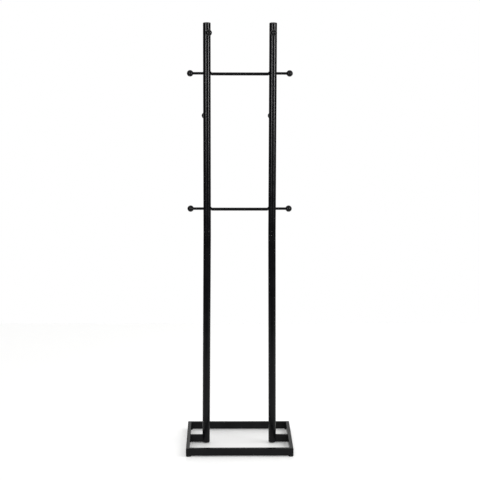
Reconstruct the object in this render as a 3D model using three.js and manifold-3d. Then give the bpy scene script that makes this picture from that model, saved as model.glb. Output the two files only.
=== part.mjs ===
// Standing coat rack: a welded base frame of rectangular tube, two sectional
// round uprights bolted to it, two tie-rod crossbars, and eight ball-ended pegs.
// Millimetres. +Z is up, the front faces -Y, and the origin is on the floor
// under the middle of the rack.

import * as THREE from 'three';
import { mergeVertices } from 'three/addons/utils/BufferGeometryUtils.js';
import Module from 'manifold-3d';

const wasm = await Module();
wasm.setup();

// ---- Driving dimensions ---------------------------------------------------

const rackHeight = 1800;       // floor to the crown of the top caps
const baseWidth = 452;         // over the side rails
const baseDepth = 390;         // over the front and rear rails
const jointHeight = 913;       // where lower and upper tubes meet
const upperSpacing = 274;      // between the upright axes above the joint
const baseSpacing = 286.5;     // between the upright axes at the base

// Rectangular tube of the base
const railWidth = 15;
const railHeight = 32;
const railWall = 1.5;
const railCorner = 2;          // outside corner radius

// Round tube of the uprights
const tubeDiameter = 32;
const tubeWall = 1.5;
const sleeveWall = 1.5;
const sleeveLength = 90;

// Crossbars: spacer tubes that hang on a tie rod
const upperRodHeight = 1590.5;
const lowerRodHeight = 1024;
const rodDiameter = 6;
const rodReach = 24;           // of the tie rod beyond the upright's surface
const rodRoom = 1;             // from the tie rod's end to the bottom of the peg's bore
const barDiameter = 13;
const barWall = 1;
const washerDiameter = 15;
const washerThickness = 2.8;   // on the rod's axis

// Pegs and balls
const pegDiameter = 11;
const ballDiameter = 27;
const ballReach = 69.5;        // upright axis to ball centre
const ballFlatDiameter = 12;
const spigotDiameter = 6;
const spigotLength = 9;
const frontPegHeight = 1757.5;
const rearPegHeight = 1410.5;
const pegChamfer = 0.6;

// Levelling feet
const padDiameter = 21;
const padThickness = 2.6;
const padEdge = 0.7;           // chamfer round the pad
const footInset = 10.5;        // outer face of the side rail to the stem axis
const stemDiameter = 6;
const stemLength = 21;         // above the pad
const insertFlange = 0.6;
const insertFlangeDiameter = 13;
const insertBodyDiameter = 9.4;
const insertLength = 12;

// Fasteners
const boltDiameter = 8;
const boltHeadDiameter = 14;
const boltHeadHeight = 5;
const boltHexAcross = 5;       // hexagon socket, across flats
const boltHexDepth = 3;
const boltHeadEdge = 1;         // chamfer round the head
const nutDiameter = 14;
const nutFaceDistance = 5;     // upright axis to the nut's inner face
const boltTipDistance = 2;     // upright axis to the bolt's tip
const coverDiameter = 15.2;
const coverThickness = 3;
const jointScrewDiameter = 5;
const jointScrewHead = 8.5;
const jointScrewHeadHeight = 1.6;
const jointScrewCrown = 5.1;    // flat top of the head
const jointScrewLength = 6.5;
const jointScrewRise = 14;     // above the joint
const rivetFlangeDiameter = 12;
const rivetFlange = 0.8;
const rivetBodyDiameter = 8.8;
const rivetBulgeDiameter = 10.8;
const rivetBulge = 3.4;
const rivetLength = 8.5;       // from the tube's bore inwards
const studRoom = 1;            // stud past the rivet nut

// Caps and plugs
const capFlange = 1.6;         // straight rim of the top cap
const capCrown = 3.4;          // rise of the dome above the rim
const capSkirt = 15;
const plugFlange = 2;
const skirtWall = 2;

// Clearances
const weldGap = 0.3;           // between pieces that are welded or coped
const seatGap = 0.1;           // between faces that are clamped together
const threadGap = 0.1;         // screw to its thread, on the radius
const slipGap = 0.3;           // cap, plug or rivet body in its hole, on the radius
const sleeveGap = 0.5;         // joint sleeve in the tubes, on the radius
const passGap = 0.4;           // bolt or rod through a plain hole, on the radius
const buttGap = 0.4;            // between the ends of the two tubes
const footGap = 0.2;           // screwed-in foot to its insert
const plugGap = 0.8;           // bottom plug to the nut above it
const overcut = 1;             // how far a cutting shape runs past the face it cuts

// How far each upright stands turned about its own axis at its drilled holes,
// in degrees, anticlockwise from above
const uprightSides = [
  { name: 'left', side: -1, frontTurn: 7, rearTurn: 8, screwTurn: 23 },
  { name: 'right', side: 1, frontTurn: 0, rearTurn: 4, screwTurn: -6 },
];

// ---- Sizes that follow ----------------------------------------------------

const tubeRadius = tubeDiameter / 2;
const tubeBore = tubeRadius - tubeWall;
const railLift = padThickness + footGap + insertFlange + seatGap;
const railMiddle = railLift + railHeight / 2;
const tubeTop = rackHeight - capCrown - capFlange - seatGap;
const tubeBottom = railLift + plugFlange + seatGap;
const plugSkirt = railMiddle - nutDiameter / 2 - plugGap - railLift - plugFlange;
const lean = Math.atan((baseSpacing - upperSpacing) / 2 / (jointHeight - railLift));
const ballFlat = Math.sqrt((ballDiameter / 2) ** 2 - (ballFlatDiameter / 2) ** 2);
const pegShoulder = ballReach - ballFlat - seatGap;
const roundSegments = 16;
const tubeSegments = 32;

// ---- Materials ------------------------------------------------------------

const powderCoat = new THREE.MeshStandardMaterial({ color: 0x1c1c1d, roughness: 0.42, metalness: 0.2 });
const ballPlastic = new THREE.MeshStandardMaterial({ color: 0x19191a, roughness: 0.35, metalness: 0 });
const capPlastic = new THREE.MeshStandardMaterial({ color: 0x202021, roughness: 0.55, metalness: 0 });
const footRubber = new THREE.MeshStandardMaterial({ color: 0x242425, roughness: 0.8, metalness: 0 });
const zincPlate = new THREE.MeshStandardMaterial({ color: 0xb9bdc2, roughness: 0.35, metalness: 1 });

// ---- Solids ---------------------------------------------------------------

// Position-only geometry with shared vertices and no collapsed triangles.
function closed(geometry) {
  const bare = geometry.clone();
  bare.deleteAttribute('normal');
  bare.deleteAttribute('uv');
  const merged = mergeVertices(bare, 1e-4);
  const index = Array.from(merged.index.array);
  const kept = [];
  for (let i = 0; i < index.length; i += 3) {
    const [a, b, c] = index.slice(i, i + 3);
    if (a !== b && b !== c && c !== a) kept.push(a, b, c);
  }
  merged.setIndex(kept);
  return merged;
}

function toManifold(geometry) {
  const merged = closed(geometry);
  return new wasm.Manifold(new wasm.Mesh({
    numProp: 3,
    vertProperties: new Float32Array(merged.attributes.position.array),
    triVerts: new Uint32Array(merged.index.array),
  }));
}

function toGeometry(manifold) {
  const mesh = manifold.getMesh();
  const geometry = new THREE.BufferGeometry();
  geometry.setAttribute('position', new THREE.BufferAttribute(new Float32Array(mesh.vertProperties), 3));
  geometry.setIndex(new THREE.BufferAttribute(new Uint32Array(mesh.triVerts), 1));
  geometry.computeVertexNormals();
  return geometry;
}

function cut(geometry, tools) {
  return toGeometry(tools.reduce((solid, tool) => solid.subtract(toManifold(tool)), toManifold(geometry)));
}

function common(geometry, other) {
  return toGeometry(toManifold(geometry).intersect(toManifold(other)));
}

// A turned shape about +Z from [radius, z] points, lowest first on the outside.
function turned(points, segments = roundSegments) {
  const profile = points.map(([radius, z]) => new THREE.Vector2(radius, z));
  return closed(new THREE.LatheGeometry(profile, segments)).rotateX(Math.PI / 2);
}

function rod(radius, from, to, segments = roundSegments) {
  return turned([[0, from], [radius, from], [radius, to], [0, to]], segments);
}

function ring(outer, inner, from, to, segments = roundSegments) {
  return turned([[outer, from], [outer, to], [inner, to], [inner, from], [outer, from]], segments);
}

// Turns a shape made about +Z so that it lies about +X.
function alongX(geometry) {
  return geometry.rotateY(Math.PI / 2);
}

function roundedRectangle(width, height, radius, ShapeType = THREE.Shape) {
  const x = width / 2 - radius;
  const y = height / 2 - radius;
  const outline = new ShapeType();
  outline.absarc(x, -y, radius, -Math.PI / 2, 0);
  outline.absarc(x, y, radius, 0, Math.PI / 2);
  outline.absarc(-x, y, radius, Math.PI / 2, Math.PI);
  outline.absarc(-x, -y, radius, Math.PI, Math.PI * 1.5);
  outline.closePath();
  return outline;
}

// Rectangular tube lying along X, its width along Y and its height along Z.
function railTube(length) {
  const section = roundedRectangle(railHeight, railWidth, railCorner);
  const boreCorner = railCorner - railWall;
  section.holes.push(
    roundedRectangle(railHeight - 2 * railWall, railWidth - 2 * railWall, boreCorner, THREE.Path),
  );
  const bar = new THREE.ExtrudeGeometry(section, { depth: length, bevelEnabled: false, curveSegments: 3 });
  return alongX(bar.translate(0, 0, -length / 2));
}

function part(name, geometry, material) {
  const mesh = new THREE.Mesh(geometry, material);
  mesh.name = name;
  return mesh;
}

function placed(children, { x = 0, y = 0, z = 0, turn = 0, tilt = 0 } = {}) {
  const group = new THREE.Group();
  group.add(...children);
  group.position.set(x, y, z);
  group.rotation.set(0, tilt, turn);
  return group;
}

const degrees = THREE.MathUtils.degToRad;

// ---- Base frame -----------------------------------------------------------

// Prism over the rail's plan outline: full length outside, mitred at both ends.
function mitreBlock(length) {
  const gap = weldGap * Math.SQRT1_2;
  const reach = railWidth / 2 + overcut;
  const end = length / 2 + overcut - gap;
  const outline = new THREE.Shape();
  outline.moveTo(-end, -reach);
  outline.lineTo(end, -reach);
  outline.lineTo(end - 2 * reach, reach);
  outline.lineTo(2 * reach - end, reach);
  outline.closePath();
  const height = railHeight + 2 * overcut;
  const block = new THREE.ExtrudeGeometry(outline, { depth: height, bevelEnabled: false });
  return block.translate(0, 0, -height / 2);
}

// One rail, its outer face towards -Y, drilled by tools in its own frame.
function rail(length, drills) {
  return cut(common(railTube(length), mitreBlock(length)), drills);
}

// Holes for the foot inserts, set in from the rail's ends and its outer face.
// A foot stands on the mitre, so both rails of its corner are drilled.
function footHoles(length, fromEnd, fromFace) {
  const radius = insertBodyDiameter / 2 + slipGap;
  const bottom = -railHeight / 2 - overcut;
  return [-1, 1].map((end) => (
    rod(radius, bottom, bottom + stemLength)
      .translate(end * (length / 2 - fromEnd), fromFace - railWidth / 2, 0)
  ));
}

function boltHoles() {
  const access = rod(coverDiameter / 2 + slipGap, -railWidth / 2 - overcut, 0);
  const bolt = rod(boltDiameter / 2 + passGap, 0, railWidth / 2 + overcut);
  return [access, bolt].map((drill) => drill.rotateX(-Math.PI / 2));
}

function baseRails() {
  const crossRail = () => rail(baseWidth, footHoles(baseWidth, footInset, railWidth / 2));
  const sideRail = () => (
    rail(baseDepth, [...footHoles(baseDepth, railWidth / 2, footInset), ...boltHoles()])
  );
  const y = baseDepth / 2 - railWidth / 2;
  const x = baseWidth / 2 - railWidth / 2;
  return placed([
    placed([part('front_rail', crossRail(), powderCoat)], { y: -y }),
    placed([part('rear_rail', crossRail(), powderCoat)], { y, turn: Math.PI }),
    placed([part('left_rail', sideRail(), powderCoat)], { x: -x, turn: -Math.PI / 2 }),
    placed([part('right_rail', sideRail(), powderCoat)], { x, turn: Math.PI / 2 }),
  ], { z: railMiddle });
}

// ---- Base stubs and their fastening ---------------------------------------
// Each is built for the right-hand upright, with +X towards the side rail.

const stubAxis = upperSpacing / 2 + (jointHeight - railMiddle) * Math.tan(lean);
const railInnerFace = baseWidth / 2 - railWidth;

// Upright's outline at the base, grown or shrunk to a radius.
function uprightOutline(radius) {
  return rod(radius, -railHeight, railHeight, tubeSegments).rotateY(-lean).translate(stubAxis, 0, 0);
}

function stub() {
  const outer = railInnerFace - weldGap;
  const inner = stubAxis + tubeRadius / 2;
  const bar = railTube(outer - inner).translate((outer + inner) / 2, 0, 0);
  return cut(bar, [uprightOutline(tubeRadius + weldGap)]);
}

function hexagonSocket(across, depth, face) {
  const sides = 6;
  return rod(across / Math.sqrt(3), face - depth, face + overcut, sides);
}

function stubBolt() {
  const seat = railInnerFace + railWall + seatGap;
  const tip = stubAxis + boltTipDistance;
  const headTop = seat + boltHeadHeight;
  const body = turned([
    [0, tip], [boltDiameter / 2 - pegChamfer, tip], [boltDiameter / 2, tip + pegChamfer],
    [boltDiameter / 2, seat], [boltHeadDiameter / 2, seat],
    [boltHeadDiameter / 2, headTop - boltHeadEdge], [boltHeadDiameter / 2 - boltHeadEdge, headTop],
    [0, headTop],
  ]);
  return alongX(cut(body, [hexagonSocket(boltHexAcross, boltHexDepth, headTop)]));
}

function stubNut() {
  const from = stubAxis + nutFaceDistance;
  const nut = alongX(ring(nutDiameter / 2, boltDiameter / 2 + threadGap, from, stubAxis + tubeRadius));
  return common(nut, uprightOutline(tubeBore - slipGap));
}

function boltCover() {
  const face = baseWidth / 2;
  return alongX(rod(coverDiameter / 2, face - coverThickness, face));
}

function baseFastening({ name, side }) {
  return placed([
    part(`${name}_stub`, stub(), powderCoat),
    part(`${name}_stub_bolt`, stubBolt(), zincPlate),
    part(`${name}_stub_nut`, stubNut(), zincPlate),
    part(`${name}_bolt_cover`, boltCover(), capPlastic),
  ], { z: railMiddle, turn: side > 0 ? 0 : Math.PI });
}

// ---- Levelling feet -------------------------------------------------------

function foot() {
  const pad = padDiameter / 2;
  const stem = stemDiameter / 2;
  return turned([
    [0, 0], [pad - padEdge, 0], [pad, padEdge],
    [pad, padThickness - padEdge], [pad - padEdge, padThickness],
    [stem, padThickness], [stem, padThickness + stemLength], [0, padThickness + stemLength],
  ]);
}

function footInsert() {
  const flange = insertFlangeDiameter / 2;
  const body = insertBodyDiameter / 2;
  const bore = stemDiameter / 2 + threadGap;
  const bottom = padThickness + footGap;
  return turned([
    [bore, bottom], [flange, bottom], [flange, bottom + insertFlange], [body, bottom + insertFlange],
    [body, bottom + insertLength], [bore, bottom + insertLength], [bore, bottom],
  ]);
}

function feet() {
  const corners = [];
  for (const [depthName, depthSign] of [['front', -1], ['rear', 1]]) {
    for (const { name, side } of uprightSides) {
      corners.push(placed([
        part(`${depthName}_${name}_foot`, foot(), footRubber),
        part(`${depthName}_${name}_foot_insert`, footInsert(), zincPlate),
      ], { x: side * (baseWidth / 2 - footInset), y: depthSign * (baseDepth / 2 - railWidth / 2) }));
    }
  }
  return corners;
}

// ---- Uprights -------------------------------------------------------------

// A drill that starts on the tube's axis and leaves through one wall, pointing
// at an angle about Z.
function wallDrill(radius, height, angle) {
  return alongX(rod(radius, 0, tubeDiameter)).rotateZ(angle).translate(0, 0, height);
}

function frontAngle(turn) {
  return degrees(turn - 90);
}

function rearAngle(turn) {
  return degrees(turn + 90);
}

function upperTube({ frontTurn, rearTurn, screwTurn }) {
  const rodHole = rodDiameter / 2 + passGap;
  const rivetHole = rivetBodyDiameter / 2 + slipGap;
  const screwHole = jointScrewDiameter / 2 + passGap;
  const tube = ring(tubeRadius, tubeBore, jointHeight + buttGap / 2, tubeTop, tubeSegments);
  const drills = [
    wallDrill(rivetHole, frontPegHeight, frontAngle(frontTurn)),
    wallDrill(rivetHole, rearPegHeight, rearAngle(rearTurn)),
    wallDrill(screwHole, jointHeight + jointScrewRise, frontAngle(screwTurn)),
  ];
  for (const height of [upperRodHeight, lowerRodHeight]) {
    drills.push(wallDrill(rodHole, height, 0), wallDrill(rodHole, height, Math.PI));
  }
  return cut(tube, drills);
}

// The lower pieces are built about an axis through the joint, which is their
// z = 0, and then lean outwards to the base.
function belowJoint(height) {
  return (height - jointHeight) / Math.cos(lean);
}

function lowerTube() {
  const tube = ring(tubeRadius, tubeBore, belowJoint(tubeBottom), -buttGap / 2, tubeSegments);
  const hole = alongX(rod(boltDiameter / 2 + passGap, 0, tubeDiameter));
  return cut(tube, [hole.translate(0, 0, belowJoint(railMiddle))]);
}

function bottomPlug() {
  const flangeBottom = belowJoint(railLift);
  const flangeTop = flangeBottom + plugFlange;
  const skirt = tubeBore - slipGap;
  const top = flangeTop + plugSkirt;
  return turned([
    [0, flangeBottom], [tubeRadius - padEdge, flangeBottom], [tubeRadius, flangeBottom + padEdge],
    [tubeRadius, flangeTop], [skirt, flangeTop], [skirt, top],
    [skirt - skirtWall, top], [skirt - skirtWall, flangeTop], [0, flangeTop],
  ], tubeSegments);
}

function topCap() {
  const flangeBottom = rackHeight - capCrown - capFlange;
  const rim = flangeBottom + capFlange;
  const skirt = tubeBore - slipGap;
  const bottom = flangeBottom - capSkirt;
  const crown = [];
  const steps = 3;
  for (let i = 0; i <= steps; i += 1) {
    const angle = (i / steps) * (Math.PI / 2);
    crown.push([tubeRadius * Math.cos(angle), rim + capCrown * Math.sin(angle)]);
  }
  return turned([
    [0, flangeBottom], [skirt - skirtWall, flangeBottom], [skirt - skirtWall, bottom], [skirt, bottom],
    [skirt, flangeBottom], [tubeRadius, flangeBottom], ...crown.slice(0, -1), [0, rackHeight],
  ], tubeSegments);
}

function jointSleeve(screwTurn) {
  const outer = tubeBore - sleeveGap;
  const sleeve = ring(outer, outer - sleeveWall, -sleeveLength / 2, sleeveLength / 2, tubeSegments);
  return cut(sleeve, [
    wallDrill(jointScrewDiameter / 2 + threadGap, jointScrewRise, frontAngle(screwTurn)),
  ]);
}

function jointScrew() {
  const shank = jointScrewDiameter / 2;
  const head = jointScrewHead / 2;
  const seat = tubeRadius + seatGap;
  return alongX(turned([
    [0, seat - jointScrewLength], [shank, seat - jointScrewLength], [shank, seat], [head, seat],
    [jointScrewCrown / 2, seat + jointScrewHeadHeight], [0, seat + jointScrewHeadHeight],
  ]));
}

function upright(settings) {
  const { name, side, screwTurn } = settings;
  const x = side * upperSpacing / 2;
  const upper = placed([
    part(`${name}_upper_tube`, upperTube(settings), powderCoat),
    part(`${name}_top_cap`, topCap(), capPlastic),
  ]);
  const lower = placed([
    part(`${name}_lower_tube`, side > 0 ? lowerTube() : lowerTube().rotateZ(Math.PI), powderCoat),
    part(`${name}_bottom_plug`, bottomPlug(), capPlastic),
  ], { z: jointHeight, tilt: -side * lean });
  const sleeve = placed([
    part(`${name}_joint_sleeve`, jointSleeve(screwTurn), zincPlate),
  ], { z: jointHeight, tilt: -side * lean / 2 });
  const screw = placed([
    part(`${name}_joint_screw`, jointScrew(), powderCoat),
  ], { z: jointHeight + jointScrewRise, turn: frontAngle(screwTurn) });
  return placed([upper, lower, sleeve, screw], { x });
}

// ---- Crossbars ------------------------------------------------------------

const barEnd = tubeRadius + washerThickness + 2 * seatGap;   // from the upright's axis
const barLength = upperSpacing - 2 * barEnd;
const barDrop = barDiameter / 2 - barWall - rodDiameter / 2 - seatGap;

function spacerBar() {
  return alongX(ring(barDiameter / 2, barDiameter / 2 - barWall, -barLength / 2, barLength / 2));
}

function tieRod() {
  const reach = upperSpacing / 2 + tubeRadius + rodReach;
  return alongX(rod(rodDiameter / 2, -reach, reach));
}

// A washer hollowed to the upright on one side, flat to the bar on the other,
// made about the upright's axis with the bar towards +X.
function saddleWasher() {
  const blank = ring(washerDiameter / 2, rodDiameter / 2 + slipGap, tubeRadius / 2, barEnd - seatGap);
  const upper = rod(tubeRadius + seatGap, -washerDiameter, washerDiameter, tubeSegments);
  return cut(alongX(blank), [upper]);
}

function crossbar(name, height) {
  const pieces = [
    placed([part(`${name}_crossbar`, spacerBar(), powderCoat)], { z: -barDrop }),
    part(`${name}_tie_rod`, tieRod(), zincPlate),
  ];
  for (const { name: sideName, side } of uprightSides) {
    pieces.push(placed([
      part(`${name}_${sideName}_washer`, saddleWasher(), powderCoat),
    ], { x: side * upperSpacing / 2, turn: side > 0 ? Math.PI : 0 }));
  }
  return placed(pieces, { z: height });
}

// ---- Pegs -----------------------------------------------------------------
// All are built about +X from the upright's axis.

// Peg from its inner face to the ball, closed on the inside by the points given.
function pegShank(inner, face) {
  const shank = pegDiameter / 2;
  const spigot = spigotDiameter / 2;
  const tip = pegShoulder + spigotLength;
  return alongX(turned([
    ...inner, [shank - pegChamfer, face], [shank, face + pegChamfer], [shank, pegShoulder],
    [spigot, pegShoulder], [spigot, tip], [0, tip],
  ]));
}

function sidePeg() {
  const face = tubeRadius + seatGap;
  const bore = rodDiameter / 2 + threadGap;
  const bottom = tubeRadius + rodReach + rodRoom;
  return pegShank([[0, bottom], [bore, bottom], [bore, face]], face);
}

function screwPeg() {
  const face = tubeRadius + rivetFlange + 2 * seatGap;
  const stud = rodDiameter / 2;
  const tip = tubeBore - rivetLength;
  return pegShank([[0, tip], [stud, tip], [stud, face]], face);
}

function ball() {
  const radius = ballDiameter / 2;
  const bore = spigotDiameter / 2 + threadGap;
  const flatAngle = Math.asin(ballFlatDiameter / 2 / radius);
  const face = -ballFlat;
  const bottom = face + spigotLength + 2 * seatGap;
  const arc = [];
  const steps = 8;
  for (let i = 0; i < steps; i += 1) {
    const angle = flatAngle + (i / steps) * (Math.PI - flatAngle);
    arc.push([radius * Math.sin(angle), -radius * Math.cos(angle)]);
  }
  const points = [[0, bottom], [bore, bottom], [bore, face], ...arc, [0, radius]];
  return alongX(turned(points)).translate(ballReach, 0, 0);
}

function rivetNut() {
  const flangeBack = tubeRadius + seatGap;
  const inner = tubeBore - rivetLength + studRoom;
  const bulgeOuter = Math.sqrt(tubeBore ** 2 - (rivetBulgeDiameter / 2) ** 2) - slipGap;
  const bulge = rivetBulgeDiameter / 2;
  const body = rivetBodyDiameter / 2;
  const bore = rodDiameter / 2 + threadGap;
  const flange = rivetFlangeDiameter / 2;
  return alongX(turned([
    [bore, inner], [body, inner], [body, bulgeOuter - rivetBulge], [bulge, bulgeOuter],
    [body, bulgeOuter], [body, flangeBack], [flange, flangeBack],
    [flange, flangeBack + rivetFlange], [bore, flangeBack + rivetFlange], [bore, inner],
  ]));
}

function sidePegs() {
  const pegs = [];
  for (const [level, z] of [['upper', upperRodHeight], ['lower', lowerRodHeight]]) {
    for (const { name, side } of uprightSides) {
      pegs.push(placed([
        part(`${level}_${name}_side_peg`, sidePeg(), powderCoat),
        part(`${level}_${name}_side_ball`, ball(), ballPlastic),
      ], { x: side * upperSpacing / 2, z, turn: side > 0 ? 0 : Math.PI }));
    }
  }
  return pegs;
}

function crossPegs() {
  const pegs = [];
  for (const { name, side, frontTurn, rearTurn } of uprightSides) {
    const places = [
      ['front', frontPegHeight, frontAngle(frontTurn)],
      ['rear', rearPegHeight, rearAngle(rearTurn)],
    ];
    for (const [face, z, turn] of places) {
      pegs.push(placed([
        part(`${name}_${face}_peg`, screwPeg(), powderCoat),
        part(`${name}_${face}_ball`, ball(), ballPlastic),
        part(`${name}_${face}_rivet_nut`, rivetNut(), powderCoat),
      ], { x: side * upperSpacing / 2, z, turn }));
    }
  }
  return pegs;
}

// ---- Assembly -------------------------------------------------------------

const coatRack = new THREE.Group();
coatRack.add(
  baseRails(),
  ...uprightSides.map(baseFastening),
  ...feet(),
  ...uprightSides.map(upright),
  crossbar('upper', upperRodHeight),
  crossbar('lower', lowerRodHeight),
  ...sidePegs(),
  ...crossPegs(),
);

export default coatRack;
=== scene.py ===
"""Finished look of a standing coat rack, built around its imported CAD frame.

The file is laid out as a Blender 4.5 add-on and is run as a script. Lengths are metres in the CAD
frame: +Z is up, the front faces -Y, and the origin is on the floor under the middle of the rack.
"""

import functools
import math

import bpy
from bpy.props import FloatProperty, FloatVectorProperty, IntProperty, PointerProperty
from mathutils import Matrix, Vector


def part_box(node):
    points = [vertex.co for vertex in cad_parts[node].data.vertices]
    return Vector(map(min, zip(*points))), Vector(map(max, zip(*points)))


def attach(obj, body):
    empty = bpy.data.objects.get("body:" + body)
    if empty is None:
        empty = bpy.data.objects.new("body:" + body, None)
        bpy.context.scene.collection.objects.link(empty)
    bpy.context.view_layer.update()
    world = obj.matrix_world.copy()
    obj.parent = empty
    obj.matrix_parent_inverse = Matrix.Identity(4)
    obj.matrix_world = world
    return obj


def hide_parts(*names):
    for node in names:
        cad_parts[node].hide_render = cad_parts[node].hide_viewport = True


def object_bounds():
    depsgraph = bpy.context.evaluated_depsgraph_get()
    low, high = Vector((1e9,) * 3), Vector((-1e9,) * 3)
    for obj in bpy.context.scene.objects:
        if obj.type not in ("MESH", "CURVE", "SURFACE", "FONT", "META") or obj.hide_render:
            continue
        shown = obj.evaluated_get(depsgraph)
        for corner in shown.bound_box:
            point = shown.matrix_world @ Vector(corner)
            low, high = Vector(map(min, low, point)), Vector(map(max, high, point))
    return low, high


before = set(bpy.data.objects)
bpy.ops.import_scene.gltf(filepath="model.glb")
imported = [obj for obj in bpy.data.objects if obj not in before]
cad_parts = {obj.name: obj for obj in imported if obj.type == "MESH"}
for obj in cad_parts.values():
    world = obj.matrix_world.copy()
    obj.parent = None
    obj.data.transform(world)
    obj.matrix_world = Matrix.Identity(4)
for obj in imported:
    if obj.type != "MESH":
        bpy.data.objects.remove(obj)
CAD_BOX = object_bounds()

bl_info = {
    "name": "Standing coat rack",
    "version": (1, 0, 0),
    "blender": (4, 5, 0),
    "location": "3D View > Sidebar > Coat rack",
    "description": "Builds the finished pieces and studio of a black standing coat rack",
    "category": "Add Mesh",
}

MM = 0.001
BODY = "rack"
SIDES = {"left": -1, "right": 1}
DEPTHS = {"front": -1, "rear": 1}
CORNERS = [(depth, side) for depth in DEPTHS for side in SIDES]
LEVELS = ("upper", "lower")
SIDE_ENDS = [(side, f"{level}_{side}_side") for level in LEVELS for side in SIDES]
CROSS_ENDS = [(side, f"{side}_{depth}") for side in SIDES for depth in DEPTHS]
UP = Vector((0, 0, 1))
LAID = Matrix.Rotation(math.pi / 2, 4, "Y")      # lays a shape that stands along +Z down along +X
WHITE = (1, 1, 1, 1)
SHARP_ANGLE = math.radians(32)

# Clearances of the CAD frame that the pieces keep
SEAT_GAP = 0.1 * MM      # between clamped faces
WELD_GAP = 0.3 * MM      # between welded or coped pieces
THREAD_GAP = 0.1 * MM    # screw to its thread, on the radius
BUTT_GAP = 0.4 * MM      # between the ends of the two tubes


def linear_colour(hex_code):
    """Linear red, green and blue of an sRGB hex colour."""
    channels = [int(hex_code[i:i + 2], 16) / 255 for i in (1, 3, 5)]
    return tuple(c / 12.92 if c <= 0.04045 else ((c + 0.055) / 1.055) ** 2.4 for c in channels)


# ---- Settings ----------------------------------------------------------------


def length(name, description, default):
    """A length in metres that the user can change."""
    return FloatProperty(name=name, description=description, default=default, min=0, precision=5,
                         subtype="DISTANCE", unit="LENGTH")


def rotation(name, description, degrees):
    """An angle that the user can change."""
    return FloatProperty(name=name, description=description, default=math.radians(degrees),
                         subtype="ANGLE", unit="ROTATION")


def glow(name, description, default):
    """A radiance that the user can change."""
    return FloatProperty(name=name, description=description, default=default, min=0)


def colour(name, description, hex_code):
    """A surface colour that the user can change."""
    return FloatVectorProperty(name=name, description=description, default=linear_colour(hex_code),
                               min=0, max=1, subtype="COLOR")


class RackSizes(bpy.types.PropertyGroup):
    """Sizes of the pieces' details; their places come from the CAD frame."""

    rail_wall: length("Rail wall", "Wall of the rectangular tube", 1.5 * MM)
    rail_corner: length("Rail corner", "Outside corner radius of the rectangular tube", 2 * MM)
    seam_depth: length("Seam depth", "How far the ground mitre weld lies below the faces", 0.05 * MM)
    bead_radius: length("Weld bead", "Radius of the fillet weld beads", 1.5 * MM)
    bead_pitch: length("Weld ripple", "Distance between the ripples of a weld bead", 2.2 * MM)
    tube_wall: length("Tube wall", "Wall of the upright tubes", 1.5 * MM)
    tube_edge: length("Tube edge", "Rounding of the tubes' cut ends", 0.45 * MM)
    bar_wall: length("Bar wall", "Wall of the crossbars", 1 * MM)
    cap_edge: length("Cap edge", "Rounding of the caps' and plugs' rims", 0.45 * MM)
    cap_flange: length("Cap rim", "Straight rim of a top cap", 1.6 * MM)
    cap_skirt: length("Cap skirt", "Depth of a top cap's skirt in the tube", 15 * MM)
    plug_flange: length("Plug rim", "Thickness of a bottom plug's rim", 2 * MM)
    skirt_wall: length("Skirt wall", "Wall of the skirts of caps and plugs", 2 * MM)
    loose_gap: length("Loose gap", "Clearance of skirts, foot inserts and washers, on the radius", 0.3 * MM)
    ball_diameter: length("Ball", "Diameter of the balls", 27 * MM)
    ball_flat: length("Ball flat", "Diameter of the flat where a ball meets its peg", 12 * MM)
    ball_ridge: length("Parting ridge", "Height of the mould's parting ridge on a ball", 0.07 * MM)
    peg_edge: length("Peg edge", "Chamfer at the inner end of a peg", 0.6 * MM)
    spigot_diameter: length("Spigot", "Diameter of a peg's spigot in its ball", 6 * MM)
    spigot_length: length("Spigot length", "Length of a peg's spigot in its ball", 9 * MM)
    fine_edge: length("Fine edge", "Rounding of the edges of pegs and balls", 0.3 * MM)
    rod_diameter: length("Rod", "Diameter of the tie rods and studs", 6 * MM)
    rod_reach: length("Rod reach", "Tie rod beyond the upright's surface", 24 * MM)
    rivet_flange: length("Rivet flange", "Thickness of a rivet nut's flange", 0.8 * MM)
    rivet_body: length("Rivet body", "Diameter of a rivet nut's body", 8.8 * MM)
    rivet_length: length("Rivet length", "Length of a rivet nut inside the tube", 8.5 * MM)
    turned_edge: length("Turned edge", "Rounding of the edges of rivet nuts and inserts", 0.25 * MM)
    screw_shank: length("Screw shank", "Diameter of a joint screw", 5 * MM)
    screw_reach: length("Screw reach", "Length of a joint screw below its head", 6.5 * MM)
    screw_crown: length("Screw crown", "Height of a joint screw's domed head", 1.6 * MM)
    screw_edge: length("Screw edge", "Rounding of a joint screw's edges", 0.15 * MM)
    screw_socket: length("Screw socket", "Hexagon socket of a joint screw, across flats", 3 * MM)
    cover_gap: length("Cover gap", "Bolt cover to its hole, on the radius", 0.3 * MM)
    stem_diameter: length("Foot stem", "Diameter of a levelling foot's thread", 6 * MM)
    thread_pitch: length("Thread pitch", "Pitch of a levelling foot's thread", 1 * MM)
    pad_edge: length("Pad edge", "Rounding of a foot's pad", 0.35 * MM)
    insert_body: length("Insert body", "Diameter of a foot insert's body", 9.4 * MM)
    insert_flange: length("Insert flange", "Thickness of a foot insert's flange", 0.6 * MM)
    tube_steps: IntProperty(
        name="Tube steps", description="Faces round an upright", default=96, min=24)
    round_steps: IntProperty(
        name="Round steps", description="Faces round a small piece", default=56, min=16)


class RackColours(bpy.types.PropertyGroup):
    """Colours of the rack's finishes and of the floor."""

    coat: colour("Powder coat", "Black powder coat of the steel", "#070708")
    coat_edge: colour("Thin coat", "Coat where it is thin along an edge", "#151517")
    ball: colour("Balls", "Moulded ABS of the balls", "#0A0A0B")
    cap: colour("Caps", "Moulded polypropylene of caps, plugs and covers", "#121213")
    rubber: colour("Feet", "Moulded rubber of the feet", "#151516")
    zinc: colour("Zinc plate", "Zinc plating of the small hardware", "#C3C7CA")
    zinc_warm: colour("Zinc passivate", "Warmer tint that the passivation leaves", "#B9B3A2")
    floor: colour("Floor", "Pale studio floor", "#F2F2F1")


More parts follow.
